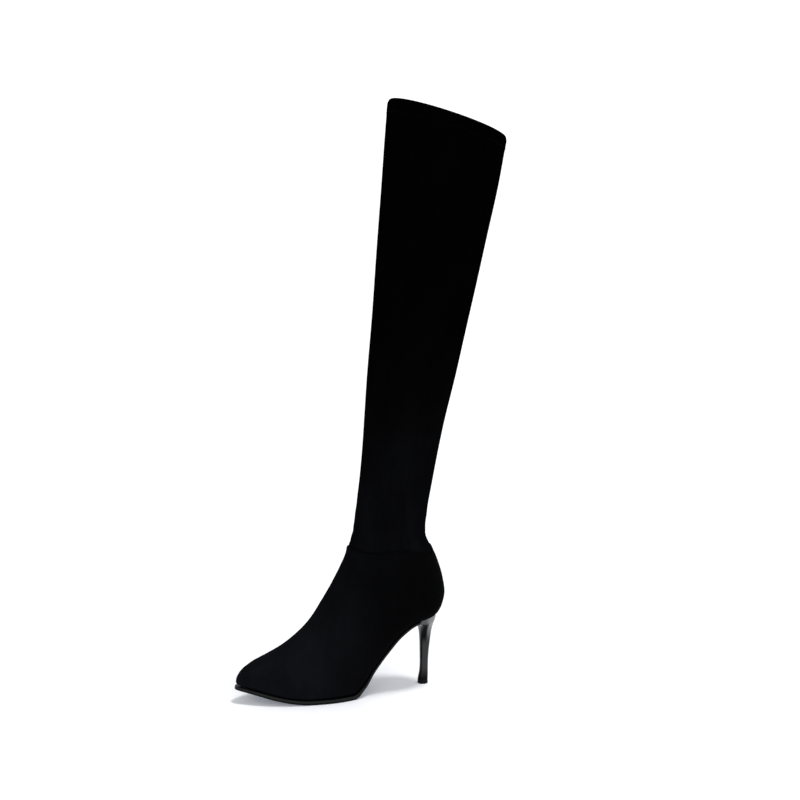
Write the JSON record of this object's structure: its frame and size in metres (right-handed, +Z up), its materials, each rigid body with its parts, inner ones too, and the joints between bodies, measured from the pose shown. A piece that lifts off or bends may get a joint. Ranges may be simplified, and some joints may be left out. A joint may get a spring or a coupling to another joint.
{
  "type": "over-the-knee boot",
  "caption": "Tall black stretch-suede boot for the left foot, with a slim shaft that leans back, a pointed toe, a thin sole and a glossy stiletto heel.",
  "frame": {"origin": "middle of the heel's walking face, on the floor", "axes": "+X towards the toe, +Y towards the outer side of the left foot, +Z up"},
  "size_m": [0.3001, 0.1178, 0.6333],
  "materials": {
    "foot_suede": "matte",
    "shaft_suede": "matte",
    "sock_lining": "satin",
    "sole_rubber": "satin",
    "heel_lacquer": "gloss",
    "tip_rubber": "matte"
  },
  "bodies": {
    "root": {"upper": "foot_suede", "shaft": "shaft_suede", "insole": "sock_lining", "outsole": "sole_rubber", "heel": "heel_lacquer", "heel_tip": "tip_rubber"}
  },
  "joints": []
}
